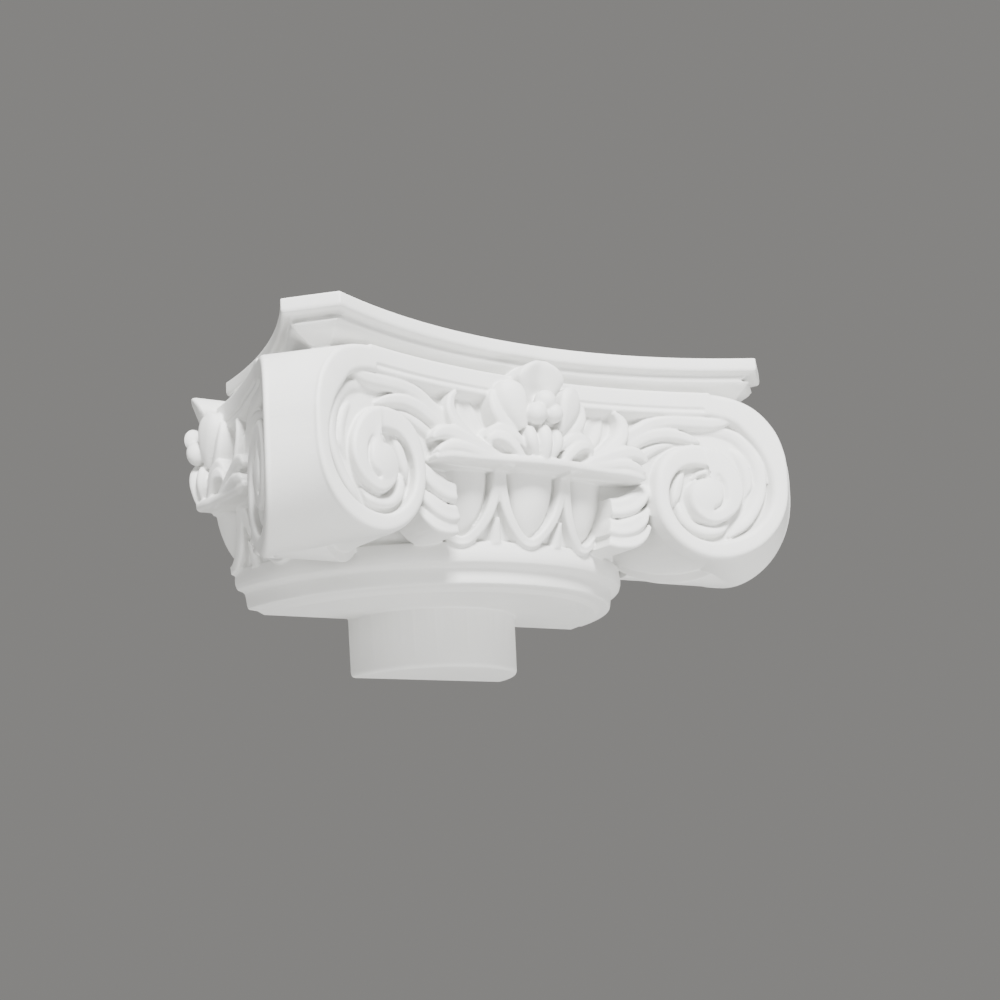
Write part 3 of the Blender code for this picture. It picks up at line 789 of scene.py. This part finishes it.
class CapitalSettings(bpy.types.PropertyGroup):
    """Sizes and colours of the capital's finish."""
    detail: bpy.props.FloatProperty(name="Detail", description="Smallest detail the mould keeps",
                                    default=0.0007, min=0.0005, unit="LENGTH")
    facets: bpy.props.IntProperty(name="Facets", description="Triangles kept in the finished mesh",
                                  default=190000, max=199000)
    white: bpy.props.FloatVectorProperty(name="White", description="Primer colour", subtype="COLOR",
                                         size=4, min=0.0, max=1.0, default=linear("#DADAD8"))
    shade: bpy.props.FloatVectorProperty(name="Shade", description="Primer colour where the coat is thin",
                                         subtype="COLOR", size=4, min=0.0, max=1.0,
                                         default=linear("#D3D3D0"))
    roughness: bpy.props.FloatProperty(name="Roughness", description="Roughness of the primer coat",
                                       default=0.6, min=0.0, max=1.0, subtype="FACTOR")
    grain: bpy.props.FloatProperty(name="Grain", description="Size of the primer's grain in millimetres",
                                   default=0.8, min=0.1)


class StageSettings(bpy.types.PropertyGroup):
    """Floor, light and camera."""
    floor: bpy.props.FloatVectorProperty(name="Floor", description="Floor colour", subtype="COLOR",
                                         size=4, min=0.0, max=1.0, default=linear("#DCDCDA"))
    floor_height: bpy.props.FloatProperty(name="Floor height", default=-1.3, unit="LENGTH",
                                          description="Height of the floor under the capital")
    backdrop: bpy.props.FloatVectorProperty(name="Backdrop", description="Backdrop colour", subtype="COLOR",
                                            size=4, min=0.0, max=1.0, default=linear("#868583"))
    key: bpy.props.FloatProperty(name="Key light", default=205.0, unit="POWER",
                                 description="Power of the light above the front")
    fill: bpy.props.FloatProperty(name="Fill light", default=24.0, unit="POWER",
                                  description="Power of the light from the left")
    lift: bpy.props.FloatProperty(name="Light from below", default=48.0, unit="POWER",
                                  description="Power of the light that lifts the undersides")


class CAPITAL_OT_piece(bpy.types.Operator):
    """Build the finely carved capital in place of the plain solid"""
    bl_idname = "capital.piece"
    bl_label = "Moulded Capital"

    def execute(self, context):
        settings = context.scene.capital_settings
        piece = neck()
        piece.name = "moulded_capital"
        context.scene.collection.objects.link(piece)
        blanks = bpy.data.collections.new("blanks")
        for obj in carving():
            blanks.objects.link(obj)
        join = piece.modifiers.new("carving", "BOOLEAN")
        join.operand_type = "COLLECTION"
        join.collection = blanks
        join.operation = "UNION"
        join.solver = "MANIFOLD"
        baked(piece)
        for obj in list(blanks.objects):
            bpy.data.objects.remove(obj, do_unlink=True)
        bpy.data.collections.remove(blanks)
        cut_behind(piece, CUT_MARGIN * settings.detail)
        cast = piece.modifiers.new("cast", "REMESH")
        cast.mode = "VOXEL"
        cast.voxel_size = settings.detail
        soft = piece.modifiers.new("soft", "SMOOTH")
        soft.factor = SOFTNESS
        soft.iterations = SOFT_ROUNDS
        baked(piece)
        thin = piece.modifiers.new("thin", "DECIMATE")
        thin.ratio = settings.facets / sum(len(p.vertices) - 2 for p in piece.data.polygons)
        baked(piece)
        cut_behind(piece, 0.0)
        piece.data.shade_smooth()
        piece.data.set_sharp_from_angle(angle=radians(SHARP_ANGLE))
        piece.data.materials.clear()
        piece.data.materials.append(primed_foam(settings))
        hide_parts("capital")
        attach(piece, "root")
        return {"FINISHED"}


def area_light(name, place, size, power):
    """Soft square light that looks at the middle of the capital."""
    light = bpy.data.lights.new(name, "AREA")
    light.size = size
    light.energy = power
    obj = bpy.data.objects.new(name, light)
    obj.location = place
    obj.rotation_euler = (CAPITAL_MIDDLE - Vector(place)).to_track_quat("-Z", "Y").to_euler()
    bpy.context.scene.collection.objects.link(obj)


def camera():
    """Camera at the photograph's viewing angle, with no shift."""
    ahead = Vector((sin(VIEW_TURN) * cos(VIEW_TILT), cos(VIEW_TURN) * cos(VIEW_TILT), sin(VIEW_TILT)))
    right = Vector((cos(VIEW_TURN), -sin(VIEW_TURN), 0))
    up = right.cross(ahead)
    side = cos(VIEW_ROLL) * right + sin(VIEW_ROLL) * up
    top = cos(VIEW_ROLL) * up - sin(VIEW_ROLL) * right
    place = (VIEW_ASIDE * side + VIEW_BELOW * top - VIEW_DISTANCE * ahead) * PART
    lens = bpy.data.cameras.new("camera")
    lens.sensor_width = SENSOR
    lens.lens = FOCAL_SHARE * SENSOR
    obj = bpy.data.objects.new("camera", lens)
    obj.matrix_world = Matrix.Translation(place) @ Matrix((side, top, -ahead)).transposed().to_4x4()
    bpy.context.scene.collection.objects.link(obj)
    bpy.context.scene.camera = obj


class CAPITAL_OT_stage(bpy.types.Operator):
    """Set up the plain floor, the soft light and the camera"""
    bl_idname = "capital.stage"
    bl_label = "Stage"

    def execute(self, context):
        settings = context.scene.capital_stage
        bpy.ops.mesh.primitive_plane_add(size=FLOOR_SIZE, location=(0, 0, settings.floor_height))
        floor = context.object
        floor.name = "floor"
        mat = bpy.data.materials.new("matt studio floor")
        mat.use_nodes = True
        shader = mat.node_tree.nodes["Principled BSDF"]
        shader.inputs["Base Color"].default_value = settings.floor
        shader.inputs["Roughness"].default_value = FLOOR_ROUGHNESS
        floor.data.materials.append(mat)
        floor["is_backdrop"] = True
        world = bpy.data.worlds.new("studio")
        world.use_nodes = True
        world.node_tree.nodes["Background"].inputs["Color"].default_value = settings.backdrop
        world.node_tree.nodes["Background"].inputs["Strength"].default_value = 1.0
        context.scene.world = world
        for name, (place, size) in LIGHTS.items():
            area_light(name, place, size, getattr(settings, name))
        camera()
        return {"FINISHED"}


class CAPITAL_PT_panel(bpy.types.Panel):
    """Sizes, colours and steps of the capital"""
    bl_label = "Capital"
    bl_idname = "CAPITAL_PT_panel"
    bl_space_type = "VIEW_3D"
    bl_region_type = "UI"
    bl_category = "Capital"

    def draw(self, context):
        for settings in (context.scene.capital_settings, context.scene.capital_stage):
            for name in settings.bl_rna.properties.keys():
                if name not in ("rna_type", "name"):
                    self.layout.prop(settings, name)
        self.layout.operator("capital.piece")
        self.layout.operator("capital.stage")


CLASSES = (CapitalSettings, StageSettings, CAPITAL_OT_piece, CAPITAL_OT_stage, CAPITAL_PT_panel)


def register():
    """Add the classes and their settings to Blender."""
    for cls in CLASSES:
        bpy.utils.register_class(cls)
    bpy.types.Scene.capital_settings = bpy.props.PointerProperty(type=CapitalSettings)
    bpy.types.Scene.capital_stage = bpy.props.PointerProperty(type=StageSettings)


def unregister():
    """Take the classes and their settings out again."""
    del bpy.types.Scene.capital_stage
    del bpy.types.Scene.capital_settings
    for cls in reversed(CLASSES):
        bpy.utils.unregister_class(cls)


def main():
    """Build the capital and its stage."""
    register()
    bpy.ops.capital.piece()
    bpy.ops.capital.stage()
    boxes = {"cad": CAD_BOX, "visual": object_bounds()}
    {name: [[float(v) for v in corner] for corner in box] for name, box in boxes.items()}


if __name__ == "__main__":
    main()
